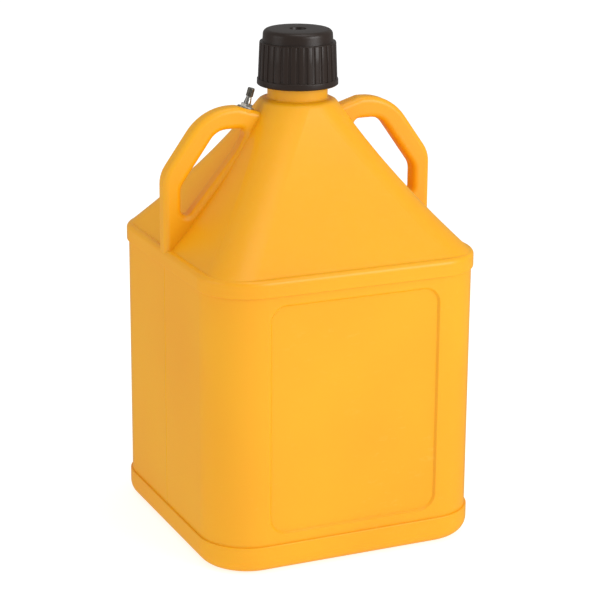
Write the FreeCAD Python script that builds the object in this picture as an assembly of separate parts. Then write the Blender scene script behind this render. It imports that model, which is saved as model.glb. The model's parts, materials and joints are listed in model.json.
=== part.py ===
import FreeCAD, Part
import math
import os

Vector = FreeCAD.Vector

# Square 57 litre utility jug. Millimetres, +Z up, origin at the middle of the base, handles along X.

# Body; widths are over the plain walls, heights are above the floor
body_width = 365.0
corner_radius = 63.5
wall = 4.0
band_proud = 2.7
band_round = 1.2
foot_band_height = 36.7
shoulder_height = 379.0
shoulder_band_height = 21.7
shoulder_band_bottom = shoulder_height - shoulder_band_height
shoulder_round = 6.5
base_round = 19.0
base_hollow_margin = 58.0
base_hollow_depth = 5.0
base_hollow_slope = 8.0

# Label panels, one on the front face and one on the back face
panel_side_margin = 70.5
panel_width = body_width - 2 * panel_side_margin
panel_bottom_margin = 15.1
panel_bottom = foot_band_height + panel_bottom_margin
panel_top_margin = 14.1
panel_top = shoulder_band_bottom - panel_top_margin
panel_corner = 19.0
panel_depth = 3.0
panel_slope = 2.6

# Tapered shoulder, which rises from the body to the collar of the neck
shoulder_ledge = 9.2
shoulder_foot_half = body_width / 2 + band_proud - shoulder_ledge
shoulder_foot_corner = 46.0
shoulder_mid_corner = 39.0
neck_radius = 38.2
collar_margin = 8.8
collar_half = neck_radius + collar_margin
collar_corner_step = 1.5
collar_corner = collar_half - collar_corner_step
shoulder_rise = 179.5
collar_height = shoulder_height + shoulder_rise
collar_round = 10.0
shoulder_hollow = 9.0
shoulder_sections = 5

# Neck and its outside thread
neck_rise = 77.5
neck_top = collar_height + neck_rise
neck_foot_round = 1.8
neck_buried = 12.0
rim_round = 1.0
thread_pitch = 6.5
thread_height = 3.8
thread_turns = 1.75
thread_drop = 46.0
thread_start = neck_top - thread_drop
thread_crest = 1.6
thread_root = 3.6
thread_sink = 0.6

# Loop handles
handle_thickness = 25.0
handle_round = 7.5
handle_inside_round = 2.0
handle_drop = 4.5
handle_top = collar_height - handle_drop
handle_slope_deg = 54.5
handle_leg_inset = 0.4
handle_knee_inset = 57.3
handle_knee_x = body_width / 2 + band_proud - handle_leg_inset - handle_knee_inset
handle_knee_round = 70.0
handle_knee_share = 0.9
handle_leg_round = 40.0
handle_bar = 28.0
handle_leg = 23.0
handle_seat_reach = 37.0
handle_seat_x = collar_half + handle_seat_reach
handle_seat_round = 14.0
handle_buried = 15.0
hole_top_bar = 28.0
hole_inner_gap = 23.5
hole_inner_x = collar_half + hole_inner_gap
hole_inner_round = 8.0
hole_knee_round = 26.0
hole_leg_round = 22.0
hole_tip_round = 7.5
hole_tip_rise = 29.0
hole_web_gap = 38.0
hole_web_x = collar_half + hole_web_gap
hole_web_drop = 60.0
hole_web_round = 60.0

# Screw cap
cap_lift_off = 60.7
cap_bottom = neck_top - cap_lift_off
cap_rise = 9.7
cap_top = neck_top + cap_rise
cap_flange_height = 8.5
cap_wall = 6.1
cap_bore_gap = 0.8
cap_skirt_radius = neck_radius + thread_height + cap_bore_gap + cap_wall
cap_flange_proud = 2.6
cap_flange_radius = cap_skirt_radius + cap_flange_proud
cap_skirt_lean = 1.9
cap_skirt_top_radius = cap_skirt_radius - cap_skirt_lean
cap_ledge = 2.4
cap_crown_drop = 15.7
cap_skirt_top = cap_top - cap_crown_drop
cap_crown_radius = cap_skirt_top_radius - cap_ledge
cap_crown_round = 6.5
cap_crown_draft = 0.8
cap_flange_round = 1.2
cap_recess_draft = 0.6
cap_recess_round = 0.8
cap_collar_gap = 2.0
cap_rib_count = 30
cap_rib_height = 1.3
cap_rib_width = 7.0
cap_rib_buried = 0.5
cap_recess_radius = 10.8
cap_recess_depth = 3.6
cap_roof = 3.8
cap_hollow_inner = 16.0
thread_gap = 0.8

# Cap gasket
gasket_thickness = 3.0
gasket_overlap = 1.6
gasket_gap = 0.4

# Vent valve on the left handle; heights are measured from its seat, along its own axis
valve_reach = 23.5
valve_x = collar_half + valve_reach
valve_tilt_deg = 17.0
valve_pad_depth = 7.0
valve_pad_margin = 0.8
washer_wide = 7.2
washer_thickness = 1.6
washer_rim_round = 0.7
nut_wide = 3.0
nut_height = 4.0
nut_chamfer = 0.8
stem_radius = 4.0
stem_gap = 0.15
washer_radius = stem_radius + washer_wide
valve_pad_radius = washer_radius + valve_pad_margin
nut_flats = 2 * (stem_radius + nut_wide)
stem_cone_bottom = 6.4
stem_cone_proud = 0.9
stem_cone_radius = stem_radius + stem_cone_proud
stem_mouth_radius = 3.4
stem_cone_top = 14.0
stem_top = 22.0
stem_bore = 1.5
stem_lip = 0.8
stem_chamber = stem_mouth_radius - stem_lip
flange_wide = 2.3
flange_radius = stem_radius + flange_wide
flange_thickness = 1.8
flange_round = 0.5
pocket_gap = 0.3
stem_edge_round = 0.3
stem_cone_blend = 4.0
stem_chamber_spare = 0.4
grommet_thickness = 2.2
core_gap = 0.12
core_bottom = 12.0
core_top = 20.6
core_floor = 1.6
core_wall = 0.73
core_chamber = stem_chamber - core_gap - core_wall
pin_radius = 0.6
pin_gap = 0.06
pin_top = 21.4
pin_head_round = 0.3
pin_collar_radius = 1.5
pin_collar_thickness = 0.6
pin_collar_drop = 0.7
core_seal_wide = 0.7
core_seal_radius = pin_radius + core_seal_wide
core_seal_thickness = 0.8
pin_foot = 0.5
core_travel = 1.2
spring_wire = 0.15
spring_coils = 5.0
spring_gap = 0.06
dust_cap_bottom = 15.2
dust_cap_top = 26.2
dust_cap_wall = 0.56
dust_cap_round = 1.4
dust_cap_mouth_round = 0.4
dust_cap_bore_gap = 0.12
dust_cap_flutes = 20
dust_cap_flute_radius = 0.25
dust_cap_smooth = 2.6
fine_pitch = 0.794
fine_height = 0.42
fine_turns = 4.0
fine_start = 16.6
fine_gap = 0.12
fine_sink = 0.1
fine_root = 0.48
fine_crest = 0.15
cap_seal_thickness = 1.2
cap_seal_hole = 1.0


def rounded_wire(corners):
    """Closed wire through (point, radius) corners, each rounded by a tangent arc."""
    starts = []
    ends = []
    middles = []
    count = len(corners)
    for index in range(count):
        point, radius = corners[index]
        before = corners[index - 1][0]
        after = corners[(index + 1) % count][0]
        to_before = (before - point).normalize()
        to_after = (after - point).normalize()
        half_angle = to_before.getAngle(to_after) / 2
        reach = radius / math.tan(half_angle)
        bisector = (to_before + to_after).normalize()
        starts.append(point + to_before * reach)
        ends.append(point + to_after * reach)
        middles.append(point + bisector * (radius / math.sin(half_angle) - radius))
    edges = []
    for index in range(count):
        if corners[index][1] > 0:
            edges.append(Part.Arc(starts[index], middles[index], ends[index]).toShape())
        edges.append(Part.makeLine(ends[index], starts[(index + 1) % count]))
    return Part.Wire(edges)


def rounded_square(half, radius, z):
    signs = [(1, -1), (1, 1), (-1, 1), (-1, -1)]
    return rounded_wire([(Vector(sx * half, sy * half, z), radius) for sx, sy in signs])


def prism(half, radius, z_low, z_high):
    face = Part.Face(rounded_square(half, radius, z_low))
    return face.extrude(Vector(0, 0, z_high - z_low))


def edges_at(shape, z, tolerance=0.01):
    flat = []
    for edge in shape.Edges:
        box = edge.BoundBox
        if abs(box.ZMin - z) < tolerance and abs(box.ZMax - z) < tolerance:
            flat.append(edge)
    return flat


def shoulder_share(z):
    return (z - shoulder_height) / (collar_height - shoulder_height)


def shoulder_half(z):
    """Half width of the tapered shoulder: a straight taper, hollowed in the middle."""
    share = shoulder_share(z)
    straight = shoulder_foot_half + (collar_half - shoulder_foot_half) * share
    return straight - 4 * shoulder_hollow * share * (1 - share)


def shoulder_corner(z):
    share = shoulder_share(z)
    ends = shoulder_foot_corner + (collar_corner - shoulder_foot_corner) * share
    middle = (shoulder_foot_corner + collar_corner) / 2 - shoulder_mid_corner
    return ends - 4 * middle * share * (1 - share)


def shoulder_loft(z_low, z_high, inset):
    """Tapered shoulder between two heights, with its skin moved in by inset."""
    slope = math.atan((collar_height - shoulder_height) / (shoulder_foot_half - collar_half))
    sideways = inset / math.sin(slope)
    wires = []
    for index in range(shoulder_sections):
        z = z_low + (z_high - z_low) * index / (shoulder_sections - 1)
        half = shoulder_half(z) - sideways
        radius = min(shoulder_corner(z) - inset, half - 1.0)
        wires.append(rounded_square(half, radius, z))
    return Part.makeLoft(wires, True, False)


def body_shell():
    """Outside of the body: plain walls, foot band and shoulder band."""
    half = body_width / 2
    walls = prism(half, corner_radius, foot_band_height - band_proud, shoulder_band_bottom + band_proud)
    foot = prism(half + band_proud, corner_radius + band_proud, 0, foot_band_height)
    foot = foot.makeFillet(base_round, edges_at(foot, 0))
    foot = foot.makeFillet(band_round, edges_at(foot, foot_band_height))
    band = prism(half + band_proud, corner_radius + band_proud, shoulder_band_bottom, shoulder_height)
    band = band.makeFillet(shoulder_round, edges_at(band, shoulder_height))
    band = band.makeFillet(band_round, edges_at(band, shoulder_band_bottom))
    return walls.fuse([foot, band])


def base_hollow(inset):
    """Shallow hollow under the base, so that the jug stands on a ring; inset lifts it by the wall."""
    half = body_width / 2 - base_hollow_margin + inset
    low = rounded_square(half, corner_radius, inset)
    high_half = half - base_hollow_slope
    high = rounded_square(high_half, corner_radius - base_hollow_slope, base_hollow_depth + inset)
    return Part.makeLoft([low, high], True, True)


def panel_wire(grow, y):
    half = panel_width / 2 + grow
    low = panel_bottom - grow
    high = panel_top + grow
    spots = [(half, low), (half, high), (-half, high), (-half, low)]
    return rounded_wire([(Vector(x, y, z), panel_corner + grow) for x, z in spots])


def panel_recess(side, inset):
    """One label panel as a block with sloping edges; inset moves it in behind the wall."""
    face_y = side * (body_width / 2 - inset)
    floor_y = side * (body_width / 2 - inset - panel_depth)
    return Part.makeLoft([panel_wire(inset, floor_y), panel_wire(inset + panel_slope, face_y)], True, True)


def slope_tan():
    return math.tan(math.radians(handle_slope_deg))


def handle_leg_x():
    """Outer face of the handle's leg, just inside the shoulder band's face."""
    return body_width / 2 + band_proud - handle_leg_inset


def handle_knee_radius():
    """Round of the handle's knee, limited by the straight top that it blends into."""
    seat_reach = handle_seat_round * math.tan(math.radians(valve_tilt_deg / 2))
    top_run = handle_knee_x - handle_seat_x - seat_reach
    half_turn = math.radians(handle_slope_deg / 2)
    return min(handle_knee_round, handle_knee_share * top_run / math.tan(half_turn))


def handle_outline():
    """Outer outline of the right handle in the XZ plane; its inner end is buried in the shoulder."""
    leg_x = handle_leg_x()
    leg_z = handle_top - (leg_x - handle_knee_x) * slope_tan()
    seat_drop = (handle_seat_x - collar_half) * math.tan(math.radians(valve_tilt_deg))
    low_z = shoulder_height - handle_buried
    corners = [
        (Vector(collar_half, 0, handle_top - seat_drop), 0),
        (Vector(handle_seat_x, 0, handle_top), handle_seat_round),
        (Vector(handle_knee_x, 0, handle_top), handle_knee_radius()),
        (Vector(leg_x, 0, leg_z), handle_leg_round),
        (Vector(leg_x, 0, low_z), 0),
        (Vector(leg_x - 3 * handle_buried, 0, low_z), 0),
        (Vector(collar_half, 0, collar_height - 4 * handle_buried), 0),
    ]
    return rounded_wire(corners)


def hole_outline():
    """Outline of the finger opening of the right handle."""
    across = handle_bar / math.cos(math.radians(handle_slope_deg))
    top_z = handle_top - hole_top_bar
    inner_leg_x = handle_leg_x() - handle_leg
    slope_x = handle_knee_x + (handle_top - across - top_z) / slope_tan()
    slope_z = handle_top - across - (inner_leg_x - handle_knee_x) * slope_tan()
    corners = [
        (Vector(hole_inner_x, 0, top_z), hole_inner_round),
        (Vector(slope_x, 0, top_z), hole_knee_round),
        (Vector(inner_leg_x, 0, slope_z), hole_leg_round),
        (Vector(inner_leg_x, 0, shoulder_height + hole_tip_rise), hole_tip_round),
        (Vector(hole_web_x, 0, collar_height - hole_web_drop), hole_web_round),
    ]
    return rounded_wire(corners)


def handle_slab(grow):
    """Right handle as a slab; grow moves every surface out, or in when it is negative."""
    outline = Part.Face(handle_outline())
    hole = Part.Face(hole_outline())
    thickness = handle_thickness + 2 * grow
    if grow != 0:
        outline = outline.makeOffset2D(grow)
        hole = hole.makeOffset2D(-grow)
    slab = outline.cut(hole).extrude(Vector(0, thickness, 0))
    slab.translate(Vector(0, -thickness / 2, 0))
    radius = handle_round if grow == 0 else handle_inside_round
    rims = []
    for edge in slab.Edges:
        box = edge.BoundBox
        if box.YLength < 0.01:
            rims.append(edge)
    return slab.makeFillet(radius, rims)


def both_sides(shape):
    return [shape, shape.mirror(Vector(0, 0, 0), Vector(1, 0, 0))]


def revolve(points):
    """Solid of revolution about Z from (radius, height) points; a third value rounds that corner."""
    corners = [(Vector(point[0], 0, point[1]), point[2] if len(point) > 2 else 0) for point in points]
    return Part.Face(rounded_wire(corners)).revolve(Vector(0, 0, 0), Vector(0, 0, 1), 360)


def thread_ridge(root, crest, pitch, start, turns, root_width, crest_width):
    """Helical ridge from radius root to radius crest, which may lie inside or outside root."""
    helix = Part.makeHelix(pitch, pitch * turns, (root + crest) / 2)
    helix.translate(Vector(0, 0, start))
    low_side = [(root, -root_width / 2), (crest, -crest_width / 2)]
    high_side = [(crest, crest_width / 2), (root, root_width / 2)]
    spots = low_side + high_side
    profile = Part.makePolygon([Vector(r, 0, start + z) for r, z in spots + spots[:1]])
    return Part.Wire(helix.Edges).makePipeShell([profile], True, True)


def neck_outside():
    low = collar_height - neck_buried
    foot = neck_radius + neck_foot_round
    corners = [
        (0, low),
        (foot, low),
        (foot, collar_height),
        (neck_radius, collar_height + neck_foot_round / 4, neck_foot_round),
        (neck_radius, neck_top, rim_round),
        (0, neck_top),
    ]
    return revolve(corners)


def neck_thread():
    root = neck_radius - thread_sink
    crest = neck_radius + thread_height
    return thread_ridge(root, crest, thread_pitch, thread_start, thread_turns, thread_root, thread_crest)


def neck_bore():
    low = collar_height - neck_buried - wall
    return Part.makeCylinder(neck_radius - wall, neck_top - low + 1, Vector(0, 0, low))


def jug_outside():
    collar = shoulder_loft(shoulder_height - 0.5, collar_height, 0)
    collar = collar.makeFillet(collar_round, edges_at(collar, collar_height))
    solid = body_shell().fuse([collar] + both_sides(handle_slab(0)))
    solid = solid.cut([panel_recess(-1, 0), panel_recess(1, 0), base_hollow(0)])
    return solid.fuse([neck_outside(), neck_thread()])


def jug_inside():
    """Space inside the jug: every outside surface moved in by the wall."""
    half = body_width / 2 - wall
    walls = prism(half, corner_radius - wall, wall, shoulder_height - wall)
    walls = walls.makeFillet(base_round - wall, edges_at(walls, wall))
    walls = walls.cut([panel_recess(-1, wall), panel_recess(1, wall), base_hollow(wall)])
    shoulder = shoulder_loft(shoulder_height - wall - 0.5, collar_height - wall, wall)
    return walls.fuse([shoulder, neck_bore()] + both_sides(handle_slab(-wall)))


def at_valve(shape):
    """Stand a shape, modelled on +Z from the valve seat, on the left handle."""
    seat_z = handle_top - (handle_seat_x - valve_x) * math.tan(math.radians(valve_tilt_deg))
    placed = shape.copy()
    placed.rotate(Vector(0, 0, 0), Vector(0, 1, 0), valve_tilt_deg)
    placed.translate(Vector(-valve_x, 0, seat_z))
    return placed


def valve_pad():
    """Flat round pad that carries the valve's washer on the rounded handle."""
    return at_valve(Part.makeCylinder(valve_pad_radius, valve_pad_depth, Vector(0, 0, -valve_pad_depth)))


def valve_pocket():
    """Room inside the handle for the stem's flange and grommet, with its flat top on the wall."""
    height = grommet_thickness + flange_thickness + pocket_gap
    pocket = Part.makeCylinder(flange_radius + pocket_gap, height, Vector(0, 0, -wall - height))
    hole = Part.makeCylinder(stem_radius + stem_gap, 3 * wall, Vector(0, 0, -2 * wall))
    return at_valve(pocket.fuse(hole))


def tank():
    return jug_outside().fuse(valve_pad()).cut(jug_inside()).cut(valve_pocket()).removeSplitter()


def cap_outside():
    low = cap_bottom
    flange_top = low + cap_flange_height
    corners = [
        (0, low),
        (cap_flange_radius, low, cap_flange_round),
        (cap_flange_radius, flange_top, cap_flange_round),
        (cap_skirt_radius, flange_top),
        (cap_skirt_top_radius, cap_skirt_top),
        (cap_crown_radius, cap_skirt_top),
        (cap_crown_radius - cap_crown_draft, cap_top, cap_crown_round),
        (cap_recess_radius, cap_top, cap_recess_round),
        (cap_recess_radius - cap_recess_draft, cap_top - cap_recess_depth, cap_recess_draft),
        (0, cap_top - cap_recess_depth),
    ]
    return revolve(corners)


def cap_rib(angle):
    """One upright rib, from the flange to the top of the skirt."""
    low = cap_bottom + cap_flange_height - cap_rib_buried
    rise = cap_skirt_top - low
    lean = math.degrees(math.atan(cap_skirt_lean / rise))
    depth = 2 * cap_rib_height
    rib = Part.makeBox(depth, cap_rib_width, rise, Vector(-cap_rib_height, -cap_rib_width / 2, 0))
    outer = [edge for edge in rib.Edges if edge.BoundBox.XMin > cap_rib_height - 0.01]
    rib = rib.makeFillet(cap_rib_height * 0.6, outer)
    rib.rotate(Vector(0, 0, 0), Vector(0, 1, 0), -lean)
    rib.translate(Vector(cap_skirt_radius, 0, low))
    rib.rotate(Vector(0, 0, 0), Vector(0, 0, 1), angle)
    return rib


def cap_inside():
    seat = neck_top + gasket_thickness
    bore = neck_radius + thread_height + cap_bore_gap
    collar = neck_radius + cap_collar_gap
    thread_top = thread_start + (thread_turns + 2) * thread_pitch
    hollow_outer = neck_radius - wall - gasket_overlap
    roof_low = cap_top - cap_roof
    corners = [
        (0, cap_bottom - 1),
        (bore, cap_bottom - 1),
        (bore, thread_top),
        (collar, thread_top + bore - collar),
        (collar, seat),
        (hollow_outer, seat),
        (hollow_outer, roof_low),
        (cap_hollow_inner, roof_low),
        (cap_hollow_inner, seat),
        (0, seat),
    ]
    return revolve(corners)


def cap_thread():
    bore = neck_radius + thread_height + cap_bore_gap
    crest = neck_radius + thread_gap
    start = thread_start + thread_pitch / 2
    root = bore + thread_sink
    return thread_ridge(root, crest, thread_pitch, start, thread_turns, thread_root, thread_crest)


def cap_shell():
    ribs = [cap_rib(360.0 * index / cap_rib_count) for index in range(cap_rib_count)]
    shell = cap_outside().fuse(ribs).cut(cap_inside())
    return shell.fuse(cap_thread()).removeSplitter()


def cap_gasket():
    outer = neck_radius + cap_collar_gap - gasket_gap
    inner = neck_radius - wall - gasket_overlap
    ring = Part.makeCylinder(outer, gasket_thickness, Vector(0, 0, neck_top))
    return ring.cut(Part.makeCylinder(inner, gasket_thickness, Vector(0, 0, neck_top)))


def valve_washer():
    inner = stem_radius + stem_gap
    return revolve([
        (inner, 0),
        (washer_radius, 0),
        (washer_radius, washer_thickness, washer_rim_round),
        (inner, washer_thickness),
    ])


def valve_nut():
    """Hexagon nut with chamfered corners, on the washer."""
    across = nut_flats / math.cos(math.radians(30))
    spots = [Vector(across / 2, 0, 0)]
    for index in range(1, 7):
        angle = math.radians(60 * index)
        spots.append(Vector(across / 2 * math.cos(angle), across / 2 * math.sin(angle), 0))
    hexagon = Part.Face(Part.makePolygon(spots)).extrude(Vector(0, 0, nut_height))
    envelope = revolve([
        (0, 0),
        (across / 2 + 0.1, 0),
        (across / 2 + 0.1, nut_height - nut_chamfer * 0.6),
        (nut_flats / 2 - nut_chamfer * 0.4, nut_height),
        (0, nut_height),
    ])
    nut = hexagon.common(envelope)
    nut = nut.cut(Part.makeCylinder(stem_radius + stem_gap, nut_height))
    nut.translate(Vector(0, 0, washer_thickness))
    return nut


def valve_stem():
    """Stem with its inner flange, shank, cone, threaded mouth and core chamber."""
    flange_bottom = -wall - grommet_thickness - flange_thickness
    outside = revolve([
        (0, flange_bottom),
        (flange_radius, flange_bottom, flange_round),
        (flange_radius, flange_bottom + flange_thickness, flange_round),
        (stem_radius, flange_bottom + flange_thickness),
        (stem_radius, stem_cone_bottom),
        (stem_cone_radius, stem_cone_bottom, stem_edge_round),
        (stem_mouth_radius, stem_cone_top, stem_cone_blend),
        (stem_mouth_radius, stem_top, stem_edge_round),
        (0, stem_top),
    ])
    bore = Part.makeCylinder(stem_bore, stem_top - flange_bottom + 2, Vector(0, 0, flange_bottom - 1))
    chamber_low = core_bottom - pin_foot - core_seal_thickness - core_travel - stem_chamber_spare
    chamber = Part.makeCylinder(stem_chamber, stem_top - chamber_low + 1, Vector(0, 0, chamber_low))
    crest = stem_mouth_radius + fine_height
    root = stem_mouth_radius - fine_sink
    ridge = thread_ridge(root, crest, fine_pitch, fine_start, fine_turns, fine_root, fine_crest)
    return outside.fuse(ridge).cut(bore.fuse(chamber))


def valve_grommet():
    inner = stem_radius + stem_gap
    top = -wall
    low = top - grommet_thickness
    return revolve([
        (inner, low),
        (flange_radius, low, flange_round),
        (flange_radius, top, flange_round),
        (inner, top),
    ])


def valve_core_barrel():
    outer = stem_chamber - core_gap
    body = Part.makeCylinder(outer, core_top - core_bottom, Vector(0, 0, core_bottom))
    guide = Part.makeCylinder(pin_radius + pin_gap, core_top, Vector(0, 0, core_bottom - 1))
    chamber_low = core_bottom + core_floor
    chamber = Part.makeCylinder(core_chamber, core_top - chamber_low + 1, Vector(0, 0, chamber_low))
    return body.cut(guide.fuse(chamber))


def valve_core_pin():
    """Pin with its pressing head, spring collar and seal foot."""
    collar_top = core_top - pin_collar_drop
    collar_low = collar_top - pin_collar_thickness
    foot_top = core_bottom - core_seal_thickness
    foot_low = foot_top - pin_foot
    return revolve([
        (0, foot_low),
        (core_seal_radius, foot_low),
        (core_seal_radius, foot_top),
        (pin_radius, foot_top),
        (pin_radius, collar_low),
        (pin_collar_radius, collar_low),
        (pin_collar_radius, collar_top),
        (pin_radius, collar_top),
        (pin_radius, pin_top, pin_head_round),
        (0, pin_top),
    ])


def valve_core_seal():
    low = core_bottom - core_seal_thickness
    ring = Part.makeCylinder(core_seal_radius, core_seal_thickness, Vector(0, 0, low))
    return ring.cut(Part.makeCylinder(pin_radius, core_seal_thickness, Vector(0, 0, low)))


def valve_core_spring():
    """Coil spring between the barrel's floor and the pin's collar."""
    low = core_bottom + core_floor + spring_wire + spring_gap
    high = core_top - pin_collar_drop - pin_collar_thickness - spring_wire - spring_gap
    mean = (core_chamber + pin_radius) / 2
    helix = Part.makeHelix((high - low) / spring_coils, high - low, mean)
    helix.translate(Vector(0, 0, low))
    circle = Part.makeCircle(spring_wire, Vector(mean, 0, low), Vector(0, 1, 0))
    return Part.Wire(helix.Edges).makePipeShell([Part.Wire(circle)], True, True)


def dust_cap_bore():
    return stem_mouth_radius + fine_height + dust_cap_bore_gap


def dust_cap_radius():
    return dust_cap_bore() + dust_cap_wall


def valve_cap():
    """Knurled dust cap with a fine inside thread."""
    radius = dust_cap_radius()
    outside = revolve([
        (0, dust_cap_bottom),
        (radius, dust_cap_bottom, dust_cap_mouth_round),
        (radius, dust_cap_top, dust_cap_round),
        (0, dust_cap_top),
    ])
    flutes = []
    for index in range(dust_cap_flutes):
        angle = 2 * math.pi * index / dust_cap_flutes
        spot = Vector(radius * math.cos(angle), radius * math.sin(angle), dust_cap_bottom - 1)
        flutes.append(Part.makeCylinder(dust_cap_flute_radius, dust_cap_top - dust_cap_smooth - spot.z, spot))
    bore = dust_cap_bore()
    roof = stem_top + cap_seal_thickness
    inside = Part.makeCylinder(bore, roof - dust_cap_bottom + 1, Vector(0, 0, dust_cap_bottom - 1))
    crest = stem_mouth_radius + fine_gap
    start = fine_start + fine_pitch / 2
    ridge = thread_ridge(bore + fine_sink, crest, fine_pitch, start, fine_turns, fine_root, fine_crest)
    return outside.cut(flutes).cut(inside).fuse(ridge)


def valve_cap_seal():
    disc = Part.makeCylinder(stem_mouth_radius, cap_seal_thickness, Vector(0, 0, stem_top))
    return disc.cut(Part.makeCylinder(cap_seal_hole, cap_seal_thickness, Vector(0, 0, stem_top)))


def save(name, shape):
    solids = shape.Solids
    whole = solids[0] if len(solids) == 1 else Part.makeCompound(solids)
    whole.exportStep(os.path.join("parts", name + ".step"))
    print(name, "solids", len(solids), "valid", whole.isValid(), "volume", round(whole.Volume, 1))


os.makedirs("parts", exist_ok=True)
save("tank", tank())
save("cap_shell", cap_shell())
save("cap_gasket", cap_gasket())
save("valve_washer", at_valve(valve_washer()))
save("valve_nut", at_valve(valve_nut()))
save("valve_stem", at_valve(valve_stem()))
save("valve_grommet", at_valve(valve_grommet()))
save("valve_core_barrel", at_valve(valve_core_barrel()))
save("valve_core_pin", at_valve(valve_core_pin()))
save("valve_core_seal", at_valve(valve_core_seal()))
save("valve_core_spring", at_valve(valve_core_spring()))
save("valve_cap", at_valve(valve_cap()))
save("valve_cap_seal", at_valve(valve_cap_seal()))
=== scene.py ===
import bmesh
import bpy
import json
import math
from mathutils import Matrix, Vector


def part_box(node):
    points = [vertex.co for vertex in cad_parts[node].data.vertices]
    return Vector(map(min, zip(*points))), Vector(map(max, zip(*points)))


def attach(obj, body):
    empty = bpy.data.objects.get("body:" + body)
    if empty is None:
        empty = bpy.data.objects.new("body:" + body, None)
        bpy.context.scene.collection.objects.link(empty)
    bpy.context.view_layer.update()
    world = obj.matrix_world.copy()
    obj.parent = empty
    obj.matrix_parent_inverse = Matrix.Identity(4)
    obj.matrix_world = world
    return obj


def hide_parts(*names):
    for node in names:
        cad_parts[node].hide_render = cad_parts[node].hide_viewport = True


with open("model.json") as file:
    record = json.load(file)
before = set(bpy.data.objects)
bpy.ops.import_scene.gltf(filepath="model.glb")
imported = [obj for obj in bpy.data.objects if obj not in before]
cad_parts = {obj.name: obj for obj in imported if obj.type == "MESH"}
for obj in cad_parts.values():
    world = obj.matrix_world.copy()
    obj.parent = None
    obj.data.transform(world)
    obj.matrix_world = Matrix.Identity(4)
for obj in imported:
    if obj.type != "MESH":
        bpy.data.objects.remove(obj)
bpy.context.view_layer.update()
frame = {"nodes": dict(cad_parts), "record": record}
scene = bpy.context.scene
print("frame loaded")


# camera, floor and lights

cameraSettings = {
    "azimuth": 24.2,        # degrees, 0 looks along +Y
    "pitch": 16.8,          # degrees below the horizon
    "roll": 0.4,
    "distance": 2.735,      # metres from the aim point
    "aimSide": 0.005,       # metres, sideways from the axis of the jug
    "aimHeight": 0.2905,
    "lens": 126.2,
    "sensor": 36.0,
}


def makeCamera():
    az = math.radians(cameraSettings["azimuth"])
    pitch = math.radians(cameraSettings["pitch"])
    roll = math.radians(cameraSettings["roll"])
    forward = Vector((math.sin(az) * math.cos(pitch), math.cos(az) * math.cos(pitch), -math.sin(pitch)))
    right = Vector((math.cos(az), -math.sin(az), 0))
    up = right.cross(forward)
    aim = right * cameraSettings["aimSide"] + Vector((0, 0, cameraSettings["aimHeight"]))
    data = bpy.data.cameras.new("jugCamera")
    data.lens = cameraSettings["lens"]
    data.sensor_width = cameraSettings["sensor"]
    camera = bpy.data.objects.new("jugCamera", data)
    scene.collection.objects.link(camera)
    rolledRight = right * math.cos(roll) + up * math.sin(roll)
    rolledUp = up * math.cos(roll) - right * math.sin(roll)
    place = aim - forward * cameraSettings["distance"]
    camera.matrix_world = Matrix((
        (rolledRight.x, rolledUp.x, -forward.x, place.x),
        (rolledRight.y, rolledUp.y, -forward.y, place.y),
        (rolledRight.z, rolledUp.z, -forward.z, place.z),
        (0, 0, 0, 1),
    ))
    scene.camera = camera
    return camera


stageSettings = {
    "size": 14.0,
    "colour": (0.50, 0.50, 0.50, 1),
    "roughness": 0.9,
    "glow": 0.72,           # the floor is lit from within, so that its shadows stay faint
}


def makeStage():
    half = stageSettings["size"] / 2
    mesh = bpy.data.meshes.new("studioFloor")
    corners = [(-half, -half, 0), (half, -half, 0), (half, half, 0), (-half, half, 0)]
    mesh.from_pydata(corners, [], [(0, 1, 2, 3)])
    floor = bpy.data.objects.new("studioFloor", mesh)
    scene.collection.objects.link(floor)
    floor.visible_glossy = False
    material = bpy.data.materials.new("paleFloor")
    material.use_nodes = True
    shader = material.node_tree.nodes["Principled BSDF"]
    shader.inputs["Base Color"].default_value = stageSettings["colour"]
    shader.inputs["Roughness"].default_value = stageSettings["roughness"]
    shader.inputs["Specular IOR Level"].default_value = 0.0
    shader.inputs["Emission Color"].default_value = (1, 1, 1, 1)
    shader.inputs["Emission Strength"].default_value = stageSettings["glow"]
    mesh.materials.append(material)


lightSettings = {
    "world": (1.0, 1.0, 1.0, 1),
    "worldStrength": 0.68,
    "worldInReflections": 0.25,     # a dimmer room in reflections, where the softboxes show
    "aim": (0, 0, 0.3),
    "softboxes": [
        {"name": "frontSoftbox", "at": (1.5, -2.4, 1.5), "size": 1.8, "power": 38},
        {"name": "leftSoftbox", "at": (-3.0, 0.2, 1.3), "size": 1.8, "power": 8},
        {"name": "topSoftbox", "at": (0.3, -0.4, 2.9), "size": 1.6, "power": 10},
    ],
}


def makeLights():
    world = bpy.data.worlds.new("studioWorld")
    world.use_nodes = True
    background = world.node_tree.nodes["Background"]
    background.inputs["Color"].default_value = lightSettings["world"]
    rays = world.node_tree.nodes.new("ShaderNodeLightPath")
    strength = world.node_tree.nodes.new("ShaderNodeMapRange")
    strength.inputs["To Min"].default_value = lightSettings["worldStrength"]
    strength.inputs["To Max"].default_value = lightSettings["worldInReflections"]
    world.node_tree.links.new(rays.outputs["Is Glossy Ray"], strength.inputs["Value"])
    world.node_tree.links.new(strength.outputs["Result"], background.inputs["Strength"])
    scene.world = world
    aim = Vector(lightSettings["aim"])
    for softbox in lightSettings["softboxes"]:
        data = bpy.data.lights.new(softbox["name"], "AREA")
        data.shape = "SQUARE"
        data.size = softbox["size"]
        data.energy = softbox["power"]
        lamp = bpy.data.objects.new(softbox["name"], data)
        scene.collection.objects.link(lamp)
        lamp.location = softbox["at"]
        lamp.rotation_euler = (aim - lamp.location).to_track_quat("-Z", "Y").to_euler()


makeCamera()
makeStage()
makeLights()
scene.view_settings.view_transform = "Standard"
print("camera, floor and lights ready")


# shader groups that several finishes share

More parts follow.
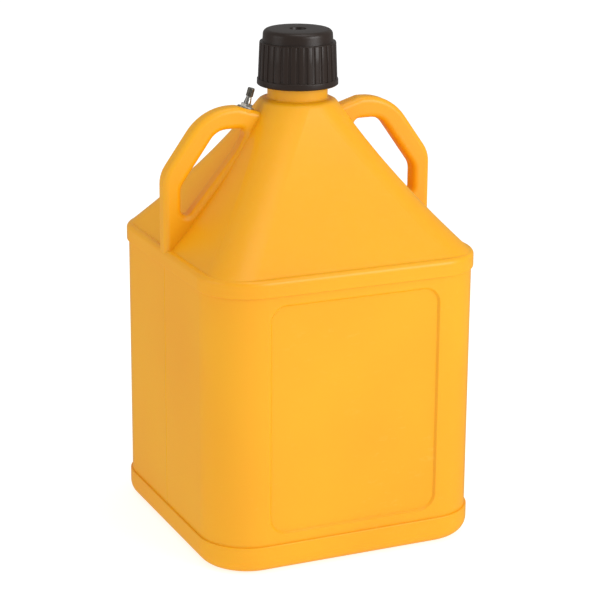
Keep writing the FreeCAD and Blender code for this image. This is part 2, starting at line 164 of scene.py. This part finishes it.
def newGroup(name, inputs, outputs):
    group = bpy.data.node_groups.new(name, "ShaderNodeTree")
    for socketName, kind, value in inputs:
        socket = group.interface.new_socket(socketName, in_out="INPUT", socket_type=kind)
        if value is not None:
            socket.default_value = value
    for socketName, kind in outputs:
        group.interface.new_socket(socketName, in_out="OUTPUT", socket_type=kind)
    return group, group.nodes.new("NodeGroupInput"), group.nodes.new("NodeGroupOutput")


def noiseNode(tree, scale, detail, roughness=0.5):
    noise = tree.nodes.new("ShaderNodeTexNoise")
    noise.inputs["Scale"].default_value = scale
    noise.inputs["Detail"].default_value = detail
    noise.inputs["Roughness"].default_value = roughness
    return noise


def mathNode(tree, operation, first=None, second=None):
    node = tree.nodes.new("ShaderNodeMath")
    node.operation = operation
    for socket, value in zip(node.inputs, (first, second)):
        if isinstance(value, bpy.types.NodeSocket):
            tree.links.new(value, socket)
        elif value is not None:
            socket.default_value = value
    return node.outputs[0]


def rangeNode(tree, value, low, high, toLow, toHigh):
    node = tree.nodes.new("ShaderNodeMapRange")
    tree.links.new(value, node.inputs["Value"])
    for name, number in (("From Min", low), ("From Max", high), ("To Min", toLow), ("To Max", toHigh)):
        node.inputs[name].default_value = number
    return node.outputs["Result"]


def makeGrainGroup():
    group, given, result = newGroup(
        "mouldGrain",
        [("Vector", "NodeSocketVector", None), ("Grain Scale", "NodeSocketFloat", 900.0),
         ("Grain", "NodeSocketFloat", 0.5), ("Wave Scale", "NodeSocketFloat", 10.0),
         ("Wave", "NodeSocketFloat", 1.0)],
        [("Height", "NodeSocketFloat")])
    fine = noiseNode(group, 1.0, 3.0, 0.6)
    broad = noiseNode(group, 1.0, 1.0)
    for noise, socket in ((fine, "Grain Scale"), (broad, "Wave Scale")):
        group.links.new(given.outputs["Vector"], noise.inputs["Vector"])
        group.links.new(given.outputs[socket], noise.inputs["Scale"])
    fineShare = mathNode(group, "MULTIPLY", fine.outputs["Fac"], given.outputs["Grain"])
    broadShare = mathNode(group, "MULTIPLY", broad.outputs["Fac"], given.outputs["Wave"])
    group.links.new(mathNode(group, "ADD", fineShare, broadShare), result.inputs["Height"])
    return group


def makeScuffGroup():
    group, given, result = newGroup(
        "scuffs",
        [("Vector", "NodeSocketVector", None), ("Scale", "NodeSocketFloat", 60.0),
         ("Amount", "NodeSocketFloat", 0.3)],
        [("Mask", "NodeSocketFloat")])
    stretch = group.nodes.new("ShaderNodeMapping")
    stretch.inputs["Rotation"].default_value = (0.3, 0.2, 0.5)
    stretch.inputs["Scale"].default_value = (1.0, 9.0, 3.0)
    group.links.new(given.outputs["Vector"], stretch.inputs["Vector"])
    streaks = noiseNode(group, 1.0, 4.0, 0.65)
    group.links.new(stretch.outputs["Vector"], streaks.inputs["Vector"])
    group.links.new(given.outputs["Scale"], streaks.inputs["Scale"])
    patches = noiseNode(group, 7.0, 2.0)
    group.links.new(given.outputs["Vector"], patches.inputs["Vector"])
    lines = rangeNode(group, streaks.outputs["Fac"], 0.6, 0.72, 0.0, 1.0)
    where = rangeNode(group, patches.outputs["Fac"], 0.48, 0.66, 0.0, 1.0)
    both = mathNode(group, "MULTIPLY", lines, where)
    group.links.new(mathNode(group, "MULTIPLY", both, given.outputs["Amount"]), result.inputs["Mask"])
    return group


def makeDustGroup():
    group, given, result = newGroup(
        "restingDust",
        [("Vector", "NodeSocketVector", None), ("Scale", "NodeSocketFloat", 40.0),
         ("Amount", "NodeSocketFloat", 0.15)],
        [("Mask", "NodeSocketFloat")])
    geometry = group.nodes.new("ShaderNodeNewGeometry")
    split = group.nodes.new("ShaderNodeSeparateXYZ")
    group.links.new(geometry.outputs["Normal"], split.inputs["Vector"])
    facingUp = rangeNode(group, split.outputs["Z"], 0.25, 1.0, 0.0, 1.0)
    specks = noiseNode(group, 1.0, 5.0, 0.7)
    group.links.new(given.outputs["Vector"], specks.inputs["Vector"])
    group.links.new(given.outputs["Scale"], specks.inputs["Scale"])
    specked = rangeNode(group, specks.outputs["Fac"], 0.42, 0.75, 0.0, 1.0)
    both = mathNode(group, "MULTIPLY", facingUp, specked)
    group.links.new(mathNode(group, "MULTIPLY", both, given.outputs["Amount"]), result.inputs["Mask"])
    return group


groups = {"grain": makeGrainGroup(), "scuffs": makeScuffGroup(), "dust": makeDustGroup()}
print("shader groups ready")


# finishes

def startMaterial(name):
    material = bpy.data.materials.new(name)
    material.use_nodes = True
    tree = material.node_tree
    shader = tree.nodes["Principled BSDF"]
    coords = tree.nodes.new("ShaderNodeTexCoord").outputs["Object"]
    return material, tree, shader, coords


def placeGroup(tree, name, coords, **values):
    node = tree.nodes.new("ShaderNodeGroup")
    node.node_tree = groups[name]
    tree.links.new(coords, node.inputs["Vector"])
    for socketName, value in values.items():
        node.inputs[socketName.replace("_", " ")].default_value = value
    return node.outputs[0]


def mixColours(tree, mask, first, second):
    mix = tree.nodes.new("ShaderNodeMix")
    mix.data_type = "RGBA"
    tree.links.new(mask, mix.inputs["Factor"])
    for socket, colour in ((mix.inputs[6], first), (mix.inputs[7], second)):
        if isinstance(colour, bpy.types.NodeSocket):
            tree.links.new(colour, socket)
        else:
            socket.default_value = colour
    return mix.outputs[2]


def addBump(tree, shader, height, distance, strength):
    bump = tree.nodes.new("ShaderNodeBump")
    bump.inputs["Strength"].default_value = strength
    bump.inputs["Distance"].default_value = distance
    tree.links.new(height, bump.inputs["Height"])
    tree.links.new(bump.outputs["Normal"], shader.inputs["Normal"])


hdpeLook = {
    "colour": (0.93, 0.425, 0.004, 1),
    "deep": (0.91, 0.385, 0.003, 1),
    "scuffed": (0.94, 0.50, 0.05, 1),
    "dusty": (0.93, 0.52, 0.09, 1),
    "gloss": 0.36,
    "scuffedGloss": 0.52,
    "glow": 0.10,                        # share of light that soaks in
    "glowDepth": 0.006,
    "grainScale": 1100.0,
    "bumpDepth": 0.0006,
}


def makeHdpe():
    material, tree, shader, coords = startMaterial("yellowHdpe")
    tone = noiseNode(tree, 5.0, 2.0)
    tree.links.new(coords, tone.inputs["Vector"])
    toneMask = rangeNode(tree, tone.outputs["Fac"], 0.35, 0.7, 0.0, 1.0)
    scuffs = placeGroup(tree, "scuffs", coords, Scale=45.0, Amount=0.35)
    dust = placeGroup(tree, "dust", coords, Scale=90.0, Amount=0.12)
    colour = mixColours(tree, toneMask, hdpeLook["colour"], hdpeLook["deep"])
    colour = mixColours(tree, scuffs, colour, hdpeLook["scuffed"])
    colour = mixColours(tree, dust, colour, hdpeLook["dusty"])
    tree.links.new(colour, shader.inputs["Base Color"])
    rough = rangeNode(tree, scuffs, 0.0, 1.0, hdpeLook["gloss"], hdpeLook["scuffedGloss"])
    tree.links.new(rough, shader.inputs["Roughness"])
    shader.inputs["IOR"].default_value = 1.5
    shader.inputs["Subsurface Weight"].default_value = hdpeLook["glow"]
    shader.inputs["Subsurface Scale"].default_value = hdpeLook["glowDepth"]
    shader.inputs["Subsurface Radius"].default_value = (1.0, 0.45, 0.08)
    grain = placeGroup(
        tree, "grain", coords, Grain_Scale=hdpeLook["grainScale"], Grain=0.06, Wave_Scale=9.0, Wave=1.6)
    addBump(tree, shader, grain, hdpeLook["bumpDepth"], 0.7)
    return material


capLook = {
    "colour": (0.022, 0.0125, 0.0085, 1),
    "worn": (0.060, 0.048, 0.040, 1),
    "dusty": (0.13, 0.105, 0.085, 1),
    "gloss": 0.34,
    "wornGloss": 0.55,
    "grainScale": 1500.0,
    "bumpDepth": 0.0002,
}


def makeCapPlastic():
    material, tree, shader, coords = startMaterial("blackCapPlastic")
    scuffs = placeGroup(tree, "scuffs", coords, Scale=140.0, Amount=0.5)
    dust = placeGroup(tree, "dust", coords, Scale=260.0, Amount=0.10)
    colour = mixColours(tree, scuffs, capLook["colour"], capLook["worn"])
    colour = mixColours(tree, dust, colour, capLook["dusty"])
    tree.links.new(colour, shader.inputs["Base Color"])
    rough = rangeNode(tree, scuffs, 0.0, 0.5, capLook["gloss"], capLook["wornGloss"])
    tree.links.new(rough, shader.inputs["Roughness"])
    shader.inputs["IOR"].default_value = 1.5
    grain = placeGroup(
        tree, "grain", coords, Grain_Scale=capLook["grainScale"], Grain=0.35, Wave_Scale=60.0, Wave=0.8)
    addBump(tree, shader, grain, capLook["bumpDepth"], 0.6)
    return material


rubberLook = {
    "colour": (0.018, 0.018, 0.019, 1),
    "pale": (0.05, 0.05, 0.05, 1),
    "gloss": 0.72,
}


def makeRubber():
    material, tree, shader, coords = startMaterial("blackRubber")
    dust = placeGroup(tree, "dust", coords, Scale=500.0, Amount=0.6)
    colour = mixColours(tree, dust, rubberLook["colour"], rubberLook["pale"])
    tree.links.new(colour, shader.inputs["Base Color"])
    shader.inputs["Roughness"].default_value = rubberLook["gloss"]
    grain = placeGroup(tree, "grain", coords, Grain_Scale=2500.0, Grain=1.0, Wave_Scale=300.0, Wave=0.5)
    addBump(tree, shader, grain, 0.0001, 0.6)
    return material


metalLooks = {
    "brightNickel": {
        "colour": (0.52, 0.50, 0.46, 1), "worn": (0.30, 0.25, 0.18, 1), "gloss": 0.20, "wear": 0.6},
    "darkNickel": {
        "colour": (0.20, 0.185, 0.16, 1), "worn": (0.42, 0.37, 0.28, 1), "gloss": 0.27, "wear": 0.8},
    "turnedBrass": {
        "colour": (0.74, 0.50, 0.20, 1), "worn": (0.45, 0.27, 0.10, 1), "gloss": 0.28, "wear": 0.5},
    "springWire": {
        "colour": (0.50, 0.50, 0.51, 1), "worn": (0.30, 0.29, 0.28, 1), "gloss": 0.25, "wear": 0.4},
}


def makeMetal(name):
    look = metalLooks[name]
    material, tree, shader, coords = startMaterial(name)
    scuffs = placeGroup(tree, "scuffs", coords, Scale=900.0, Amount=look["wear"])
    tarnish = noiseNode(tree, 420.0, 4.0, 0.6)
    tree.links.new(coords, tarnish.inputs["Vector"])
    tarnishMask = rangeNode(tree, tarnish.outputs["Fac"], 0.5, 0.75, 0.0, look["wear"])
    colour = mixColours(tree, tarnishMask, look["colour"], look["worn"])
    tree.links.new(mixColours(tree, scuffs, colour, look["worn"]), shader.inputs["Base Color"])
    shader.inputs["Metallic"].default_value = 1.0
    rough = rangeNode(tree, tarnish.outputs["Fac"], 0.4, 0.8, look["gloss"], look["gloss"] + 0.2)
    tree.links.new(rough, shader.inputs["Roughness"])
    grain = placeGroup(tree, "grain", coords, Grain_Scale=4000.0, Grain=0.4, Wave_Scale=600.0, Wave=0.4)
    addBump(tree, shader, grain, 0.00004, 0.5)
    return material


finishes = {
    "yellow_hdpe": makeHdpe(),
    "black_cap": makeCapPlastic(),
    "black_rubber": makeRubber(),
    "plated_brass": makeMetal("brightNickel"),
    "dark_plated_cap": makeMetal("darkNickel"),
    "bare_brass": makeMetal("turnedBrass"),
    "spring_steel": makeMetal("springWire"),
}
print("finishes ready:", len(finishes))


def dressNodes():
    for part in frame["record"]["subparts"]:
        mesh = frame["nodes"][part["node"]].data
        mesh.materials.clear()
        mesh.materials.append(finishes[part["material_slot"]])


dressNodes()
print("frame nodes dressed:", len(frame["nodes"]))


# geometry node trees: a ring of copies, and a bead along a path

def newTree(name, inputs):
    tree = bpy.data.node_groups.new(name, "GeometryNodeTree")
    tree.interface.new_socket("Geometry", in_out="INPUT", socket_type="NodeSocketGeometry")
    tree.interface.new_socket("Geometry", in_out="OUTPUT", socket_type="NodeSocketGeometry")
    for socketName, kind in inputs:
        tree.interface.new_socket(socketName, in_out="INPUT", socket_type=kind)
    return tree, tree.nodes.new("NodeGroupInput"), tree.nodes.new("NodeGroupOutput")


def finishTree(tree, geometry, given, result):
    realize = tree.nodes.new("GeometryNodeRealizeInstances")
    setMaterial = tree.nodes.new("GeometryNodeSetMaterial")
    tree.links.new(geometry, realize.inputs["Geometry"])
    tree.links.new(realize.outputs["Geometry"], setMaterial.inputs["Geometry"])
    tree.links.new(given.outputs["Material"], setMaterial.inputs["Material"])
    tree.links.new(setMaterial.outputs["Geometry"], result.inputs["Geometry"])


def makeRingTree():
    tree, given, result = newTree(
        "ringOfCopies",
        [("Copies", "NodeSocketInt"), ("Ring Radius", "NodeSocketFloat"),
         ("Copied Object", "NodeSocketObject"), ("Material", "NodeSocketMaterial")])
    circle = tree.nodes.new("GeometryNodeMeshCircle")
    tree.links.new(given.outputs["Copies"], circle.inputs["Vertices"])
    tree.links.new(given.outputs["Ring Radius"], circle.inputs["Radius"])
    info = tree.nodes.new("GeometryNodeObjectInfo")
    tree.links.new(given.outputs["Copied Object"], info.inputs["Object"])
    position = tree.nodes.new("GeometryNodeInputPosition")
    align = tree.nodes.new("FunctionNodeAlignRotationToVector")
    align.axis = "X"
    align.pivot_axis = "Z"
    tree.links.new(position.outputs["Position"], align.inputs["Vector"])
    copies = tree.nodes.new("GeometryNodeInstanceOnPoints")
    tree.links.new(circle.outputs["Mesh"], copies.inputs["Points"])
    tree.links.new(info.outputs["Geometry"], copies.inputs["Instance"])
    tree.links.new(align.outputs["Rotation"], copies.inputs["Rotation"])
    finishTree(tree, copies.outputs["Instances"], given, result)
    return tree


def makeBeadTree():
    tree, given, result = newTree(
        "beadOnPath",
        [("Bead Width", "NodeSocketFloat"), ("Bead Height", "NodeSocketFloat"),
         ("Material", "NodeSocketMaterial")])
    toCurve = tree.nodes.new("GeometryNodeMeshToCurve")
    tree.links.new(given.outputs["Geometry"], toCurve.inputs["Mesh"])
    circle = tree.nodes.new("GeometryNodeCurvePrimitiveCircle")
    circle.inputs["Resolution"].default_value = 16
    circle.inputs["Radius"].default_value = 1.0
    scale = tree.nodes.new("ShaderNodeCombineXYZ")
    halfWidth = tree.nodes.new("ShaderNodeMath")
    halfWidth.operation = "MULTIPLY"
    halfWidth.inputs[1].default_value = 0.5
    tree.links.new(given.outputs["Bead Width"], halfWidth.inputs[0])
    tree.links.new(given.outputs["Bead Height"], scale.inputs["X"])
    tree.links.new(halfWidth.outputs[0], scale.inputs["Y"])
    scale.inputs["Z"].default_value = 1.0
    shape = tree.nodes.new("GeometryNodeTransform")
    tree.links.new(circle.outputs["Curve"], shape.inputs["Geometry"])
    tree.links.new(scale.outputs["Vector"], shape.inputs["Scale"])
    sweep = tree.nodes.new("GeometryNodeCurveToMesh")
    tree.links.new(toCurve.outputs["Curve"], sweep.inputs["Curve"])
    tree.links.new(shape.outputs["Geometry"], sweep.inputs["Profile Curve"])
    sweep.inputs["Fill Caps"].default_value = True
    finishTree(tree, sweep.outputs["Mesh"], given, result)
    return tree


trees = {"ring": makeRingTree(), "bead": makeBeadTree()}


def growMesh(treeName, startMesh, values, pieceName):
    carrier = bpy.data.objects.new(pieceName + "Carrier", startMesh)
    scene.collection.objects.link(carrier)
    modifier = carrier.modifiers.new("grow", "NODES")
    modifier.node_group = trees[treeName]
    for item in trees[treeName].interface.items_tree:
        if item.in_out == "INPUT" and item.name in values:
            modifier[item.identifier] = values[item.name]
    evaluated = carrier.evaluated_get(bpy.context.evaluated_depsgraph_get())
    mesh = bpy.data.meshes.new_from_object(evaluated)
    carrier.modifiers.clear()
    bpy.data.objects.remove(carrier)
    mesh.name = pieceName
    piece = bpy.data.objects.new(pieceName, mesh)
    scene.collection.objects.link(piece)
    return piece


def smoothPiece(piece, degrees):
    piece.data.polygons.foreach_set("use_smooth", [True] * len(piece.data.polygons))
    piece.data.set_sharp_from_angle(angle=math.radians(degrees))


def meshObject(name, vertices, faces):
    mesh = bpy.data.meshes.new(name)
    mesh.from_pydata(vertices, [], faces)
    mesh.update()
    piece = bpy.data.objects.new(name, mesh)
    scene.collection.objects.link(piece)
    return piece


smallestEdge = 0.000001


def outwardFaces(piece, mergeDistance):
    work = bmesh.new()
    work.from_mesh(piece.data)
    bmesh.ops.remove_doubles(work, verts=work.verts, dist=mergeDistance)
    bmesh.ops.dissolve_degenerate(work, edges=work.edges, dist=smallestEdge)
    bmesh.ops.recalc_face_normals(work, faces=work.faces)
    work.to_mesh(piece.data)
    work.free()


def roundedProfile(corners, steps):
    points = []
    count = len(corners)
    for index, (radius, height, corner) in enumerate(corners):
        here = Vector((radius, height))
        if corner == 0:
            points.append(here)
            continue
        before = (Vector(corners[index - 1][:2]) - here).normalized()
        after = (Vector(corners[(index + 1) % count][:2]) - here).normalized()
        half = before.angle(after) / 2
        start = here + before * corner / math.tan(half)
        end = here + after * corner / math.tan(half)
        centre = here + (before + after).normalized() * corner / math.sin(half)
        turn = (start - centre).angle_signed(end - centre)
        for step in range(steps + 1):
            arm = (start - centre).copy()
            arm.rotate(Matrix.Rotation(-turn * step / steps, 2))
            points.append(centre + arm)
    return points


def lathe(name, corners, segments, steps=6):
    points = roundedProfile(corners, steps)
    vertices = []
    for turn in range(segments):
        angle = 2 * math.pi * turn / segments
        vertices += [(p.x * math.cos(angle), p.x * math.sin(angle), p.y) for p in points]
    faces = []
    count = len(points)
    for turn in range(segments):
        following = (turn + 1) % segments
        for index in range(count):
            after = (index + 1) % count
            faces.append((turn * count + index, following * count + index,
                          following * count + after, turn * count + after))
    piece = meshObject(name, vertices, faces)
    outwardFaces(piece, smallestEdge)
    return piece


# screw cap: turned body and a ring of grip ribs

capShape = {
    "flangeHeight": 0.0085,
    "flangeProud": 0.0026,
    "skirtLean": 0.0019,        # how much the skirt narrows towards its top
    "ledge": 0.0024,            # from the top of the skirt in to the crown
    "skirtDrop": 0.0157,        # from the top of the cap down to the top of the ribs
    "crownRound": 0.0065,
    "crownDraft": 0.0008,
    "recessRadius": 0.0108,
    "recessDepth": 0.0036,
    "recessDraft": 0.0008,
    "ringProud": 0.0010,        # thin ring that closes the tops of the ribs
    "ringHeight": 0.0011,
    "wall": 0.0061,
    "boreTop": 0.0383,          # above the lower edge
    "gasketGap": 0.0004,
    "ribs": 30,
    "ribWidth": 0.0072,
    "ribProud": 0.0013,
    "ribFoot": 0.0006,          # how far the ribs start inside the flange
    "ribHead": 0.0002,          # how far they end below the ledge
    "segments": 240,
}


def makeCapBody():
    low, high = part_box("cap_shell")
    bottom, top = low.z, high.z
    flange = (high.x - low.x) / 2
    skirt = flange - capShape["flangeProud"]
    skirtTop = skirt - capShape["skirtLean"]
    crown = skirtTop - capShape["ledge"]
    shelf = top - capShape["skirtDrop"]
    bore = skirt - capShape["wall"]
    flangeTop = bottom + capShape["flangeHeight"]
    recess = capShape["recessRadius"]
    recessFloor = top - capShape["recessDepth"]
    ring = skirtTop + capShape["ringProud"]
    ringFoot = shelf - capShape["ringHeight"]
    gasketLow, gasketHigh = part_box("cap_gasket")
    roof = gasketHigh.z
    collar = (gasketHigh.x - gasketLow.x) / 2 + capShape["gasketGap"]
    boreTop = bottom + capShape["boreTop"]
    corners = [
        (0.0, recessFloor, 0),
        (recess - capShape["recessDraft"], recessFloor, 0.0007),
        (recess, top, 0.0009),
        (crown - capShape["crownDraft"], top - 0.0002, capShape["crownRound"]),
        (crown, shelf, 0.0005),
        (ring, shelf, 0.0004),
        (ring, ringFoot, 0.0004),
        (skirtTop + 0.0001, ringFoot - 0.0003, 0),
        (skirt, flangeTop, 0.0008),
        (flange - 0.0002, flangeTop - 0.0003, 0.0012),
        (flange, bottom + 0.0012, 0.0010),
        (flange - 0.0016, bottom, 0.0009),
        (bore, bottom, 0.0007),
        (bore, boreTop, 0.002),
        (collar, boreTop + bore - collar, 0.0008),
        (collar, roof, 0),
        (0.0, roof, 0),
    ]
    piece = lathe("capBody", corners, capShape["segments"])
    piece.data.materials.append(finishes["black_cap"])
    smoothPiece(piece, 50)
    return piece, skirt, shelf, flangeTop


def makeRibSource(height, lean):
    halfWidth = capShape["ribWidth"] / 2
    proud = capShape["ribProud"]
    section = [(-0.0020, -1.0), (-0.0004, -1.0), (proud * 0.35, -0.97), (proud * 0.70, -0.88),
               (proud * 0.90, -0.70), (proud, -0.35), (proud, 0.35), (proud * 0.90, 0.70),
               (proud * 0.70, 0.88), (proud * 0.35, 0.97), (-0.0004, 1.0), (-0.0020, 1.0)]
    levels = [(0.0, 1.0), (height * 0.5, 1.0), (height - 0.0012, 1.0), (height - 0.0005, 0.72),
              (height, 0.25)]
    vertices = []
    for z, swell in levels:
        for x, y in section:
            out = x * swell if x > 0 else x
            vertices.append((out - lean * z / height, y * halfWidth, z))
    count = len(section)
    topRing = range((len(levels) - 1) * count, len(levels) * count)
    faces = [tuple(reversed(range(count))), tuple(topRing)]
    for level in range(len(levels) - 1):
        for index in range(count):
            after = (index + 1) % count
            faces.append((level * count + index, level * count + after,
                          (level + 1) * count + after, (level + 1) * count + index))
    return meshObject("ribSource", vertices, faces)


def makeCap():
    body, skirt, shelf, flangeTop = makeCapBody()
    foot = flangeTop - capShape["ribFoot"]
    source = makeRibSource(shelf - capShape["ribHead"] - foot, capShape["skirtLean"])
    values = {"Copies": capShape["ribs"], "Ring Radius": skirt, "Copied Object": source,
              "Material": finishes["black_cap"]}
    ribs = growMesh("ring", bpy.data.meshes.new("ribRing"), values, "capRibs")
    bpy.data.objects.remove(source)
    ribs.data.transform(Matrix.Translation((0, 0, foot)))
    outwardFaces(ribs, 10 * smallestEdge)
    smoothPiece(ribs, 60)
    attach(body, "cap")
    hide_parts("cap_shell")
    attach(ribs, "cap")
    print("cap ready:", len(body.data.polygons), "faces and", capShape["ribs"], "ribs")


makeCap()


# mould seam: a low flat bead up the middle of each handle side of the body

seamShape = {
    "width": 0.0046,
    "height": 0.00045,
    "footBand": 0.0367,
    "shoulderBand": 0.3573,
    "bandProud": 0.0027,
    "steps": 24,
}


def makeSeams():
    low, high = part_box("tank")
    vertices = []
    edges = []
    for side in (-1, 1):
        wallX = side * (high.x - seamShape["bandProud"])
        first = len(vertices)
        rise = seamShape["shoulderBand"] - seamShape["footBand"]
        for step in range(seamShape["steps"] + 1):
            z = seamShape["footBand"] + rise * step / seamShape["steps"]
            vertices.append((wallX, 0.0, z))
            if step:
                edges.append((first + step - 1, first + step))
    path = bpy.data.meshes.new("seamPath")
    path.from_pydata(vertices, edges, [])
    values = {"Bead Width": seamShape["width"], "Bead Height": seamShape["height"],
              "Material": finishes["yellow_hdpe"]}
    seams = growMesh("bead", path, values, "mouldSeams")
    outwardFaces(seams, 10 * smallestEdge)
    smoothPiece(seams, 40)
    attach(seams, "jug")
    print("mould seams ready")
    return seams


makeSeams()
